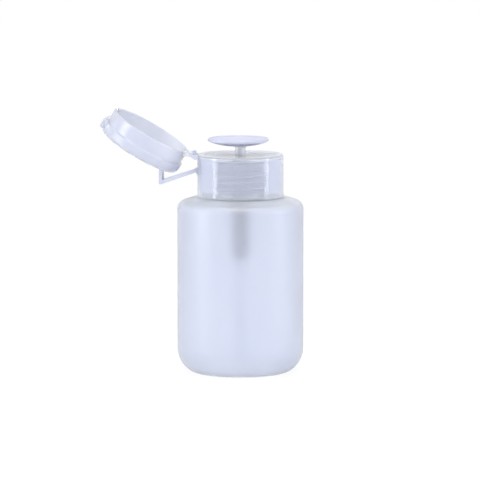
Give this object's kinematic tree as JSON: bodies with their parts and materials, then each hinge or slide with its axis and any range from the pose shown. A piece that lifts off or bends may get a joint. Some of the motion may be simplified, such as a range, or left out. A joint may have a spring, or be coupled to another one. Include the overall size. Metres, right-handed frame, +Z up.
{
  "type": "pump dispenser",
  "caption": "Frosted plastic bottle with a push-down dish pump and an open flip-top lid on a snap hinge, for remover or lotion.",
  "frame": {"origin": "middle of the flat base, on the bottle's axis", "axes": "+Z up along the bottle's axis, the hinge at -X with its axis along Y, the closed lid's thumb tab at +X"},
  "size_m": [0.0967, 0.06, 0.1253],
  "materials": {
    "frosted_plastic": "blown translucent plastic, soft satin",
    "clear_plastic": "moulded translucent plastic, smooth",
    "pump_plastic": "moulded natural plastic",
    "seal_plastic": "soft white plastic",
    "steel": "bright stainless steel"
  },
  "bodies": {
    "bottle": {"bottle": "frosted_plastic"},
    "pump_unit": {"pump_cylinder": "pump_plastic", "stem_bush": "pump_plastic", "stem_seal": "seal_plastic", "neck_gasket": "seal_plastic", "foot_valve": "pump_plastic", "inlet_cage": "pump_plastic", "dip_tube": "pump_plastic"},
    "closure": {"screw_collar": "clear_plastic"},
    "lid": {"lid": "clear_plastic"},
    "strap_lower": {"strap_lower_arm": "clear_plastic"},
    "strap_upper": {"strap_upper_arm": "clear_plastic"},
    "plunger": {"dish": "clear_plastic", "stem": "pump_plastic", "piston": "pump_plastic", "piston_seal": "seal_plastic", "return_spring": "steel"},
    "inlet_ball": {"inlet_ball": "steel"},
    "outlet_ball": {"outlet_ball": "steel"}
  },
  "joints": [
    {"name": "closure_lift", "type": "slide", "parent": "bottle", "child": "pump_unit", "axis": [0, 0, 1], "range_m": [0, 0.00953]},
    {"name": "closure_turn", "type": "hinge", "parent": "pump_unit", "child": "closure", "pos_m": [0, 0, 0.0946], "axis": [0, 0, 1], "range_deg": [0, 1085]},
    {"name": "lid_hinge", "type": "hinge", "parent": "closure", "child": "lid", "pos_m": [-0.02285, 0, 0.104], "axis": [0, 1, 0], "range_deg": [0, 149.5]},
    {"name": "strap_root", "type": "hinge", "parent": "closure", "child": "strap_lower", "pos_m": [-0.0216, 0, 0.0964], "axis": [0, 1, 0], "range_deg": [0, 109.3]},
    {"name": "strap_end", "type": "hinge", "parent": "lid", "child": "strap_upper", "pos_m": [-0.03801, 0, 0.09866], "axis": [0, 1, 0], "range_deg": [-75.2, 0]},
    {"name": "dish_push", "type": "slide", "parent": "pump_unit", "child": "plunger", "axis": [0, 0, -1], "range_m": [0, 0.0037], "stiffness_N_per_m": 400, "springref_m": -0.004, "deforming": ["return_spring"]},
    {"name": "inlet_ball_lift", "type": "slide", "parent": "pump_unit", "child": "inlet_ball", "axis": [0, 0, 1], "range_m": [0, 0.0008]},
    {"name": "outlet_ball_lift", "type": "slide", "parent": "plunger", "child": "outlet_ball", "axis": [0, 0, 1], "range_m": [0, 0.0008]}
  ],
  "couplings": [
    {"joint": "closure_turn", "follows": "closure_lift", "rad_per_m": 1979},
    {"joint": "strap_root", "follows": "lid_hinge", "ratio": 0.7302},
    {"joint": "strap_end", "follows": "lid_hinge", "ratio": -0.50171}
  ]
}
